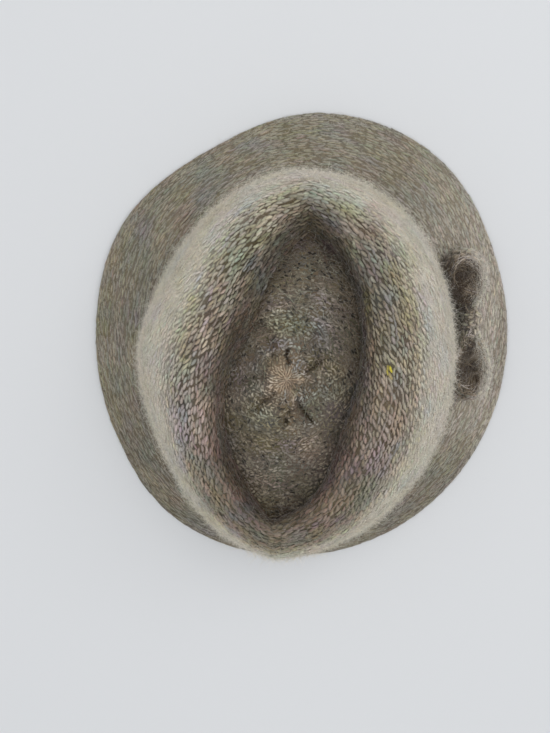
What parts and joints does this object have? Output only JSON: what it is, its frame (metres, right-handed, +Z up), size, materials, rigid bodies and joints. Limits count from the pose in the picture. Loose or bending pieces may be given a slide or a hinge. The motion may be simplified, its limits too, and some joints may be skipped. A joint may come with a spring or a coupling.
{
  "type": "mohair hat",
  "caption": "Soft knitted mohair hat with a lens-shaped dent pressed into its crown, a sloping brim and a small upright bow beside the crown.",
  "frame": {"origin": "centre of the brim's outline, on the surface that the hat rests on", "axes": "+Z up out of the crown; the front of the hat faces -Y; the wearer's left is +X, so the bow is at -X"},
  "size_m": [0.253, 0.2756, 0.118],
  "materials": {
    "crown_knit": "brushed, hairy knit of heathered beige, olive and blue-grey yarn",
    "brim_knit": "dense knit of heathered olive-grey yarn, lightly hairy",
    "bow_knit": "very hairy knit, dark grey-brown with a pale halo"
  },
  "bodies": {
    "root": {"crown": "crown_knit", "brim": "brim_knit", "bow_front_loop": "bow_knit", "bow_back_loop": "bow_knit", "bow_knot": "bow_knit"}
  },
  "joints": []
}
